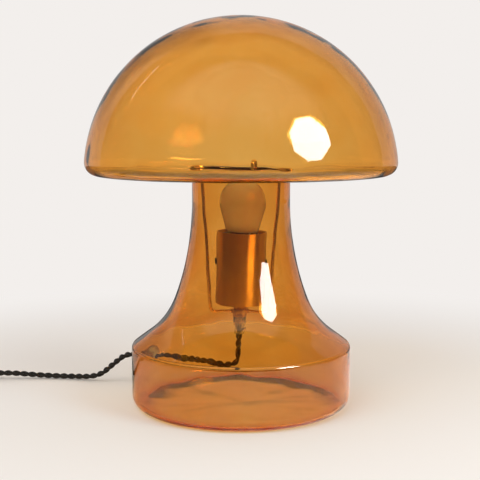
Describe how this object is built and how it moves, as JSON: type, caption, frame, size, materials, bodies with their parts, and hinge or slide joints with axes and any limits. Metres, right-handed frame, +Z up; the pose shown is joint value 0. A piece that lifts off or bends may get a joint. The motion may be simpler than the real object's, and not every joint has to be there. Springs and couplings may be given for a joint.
{
  "type": "mushroom table lamp",
  "caption": "Mushroom table lamp in amber blown glass: domed shade on wire hooks over a flared base, brass bulb holder, textile cord, in-line switch and plug.",
  "frame": {"origin": "centre of the base's flat bottom, on the surface that the lamp stands on", "axes": "+Z up along the lamp's axis, front of the lamp towards -Y, cord leaving towards -X"},
  "size_m": [0.588, 0.2968, 0.3724],
  "materials": {
    "amber_glass": "clear polished blown glass",
    "satin_brass": "satin lacquered",
    "contact_brass": "bare",
    "clear_silicone": "clear soft",
    "clear_plastic": "clear moulded",
    "wire_insulation": "extruded",
    "dark_steel": "blackened",
    "black_phenolic": "moulded",
    "white_ceramic": "unglazed",
    "opal_glass": "satin opal",
    "nickel_cap": "nickel plated",
    "black_insulator": "vitreous",
    "led_white": "moulded",
    "black_rubber": "matt",
    "black_textile": "twisted braid",
    "black_plastic": "fine moulded",
    "plug_pin_metal": "nickel plated"
  },
  "bodies": {
    "base": {"glass_base": "amber_glass", "hanger_arm_1": "satin_brass", "hanger_arm_2": "satin_brass", "hanger_arm_3": "satin_brass", "hanger_hub": "satin_brass", "foot_sleeves": "clear_silicone", "nipple": "satin_brass", "hub_spacer": "satin_brass", "lower_nut": "satin_brass", "upper_nut": "satin_brass", "cord_grip": "clear_plastic", "grip_screw": "clear_plastic", "conductors": "wire_insulation", "holder_cup": "satin_brass", "cup_screws": "dark_steel", "holder_cap": "black_phenolic", "holder_insert": "white_ceramic", "terminals": "contact_brass", "terminal_screws": "dark_steel", "holder_sleeve": "black_phenolic", "screw_shell": "contact_brass", "centre_contact": "contact_brass", "cord_grommet": "clear_silicone", "mains_cord": "black_textile", "cord_coil": "black_textile", "switch_base": "black_plastic", "switch_cover": "black_plastic", "switch_screws": "dark_steel", "switch_reliefs": "black_rubber", "switch_terminals": "contact_brass", "plug_relief": "black_rubber", "plug_body": "black_plastic", "plug_pins": "plug_pin_metal"},
    "shade": {"glass_shade": "amber_glass"},
    "bulb": {"bulb_globe": "opal_glass", "bulb_cap": "nickel_cap", "bulb_insulator": "black_insulator", "bulb_tip": "contact_brass", "led_module": "led_white"},
    "rocker": {"switch_rocker": "black_plastic"}
  },
  "joints": [
    {"name": "shade_lift", "type": "slide", "parent": "base", "child": "shade", "axis": [0, 0, 1], "range_m": [0, 0.06]},
    {"name": "bulb_unscrew", "type": "slide", "parent": "base", "child": "bulb", "axis": [0.0262, 0, 0.9997], "range_m": [0, 0.05]},
    {"name": "rocker_tilt", "type": "hinge", "parent": "base", "child": "rocker", "pos_m": [-0.298, 0.088, 0.0132], "axis": [0, -1, 0], "range_deg": [0, 16]}
  ]
}
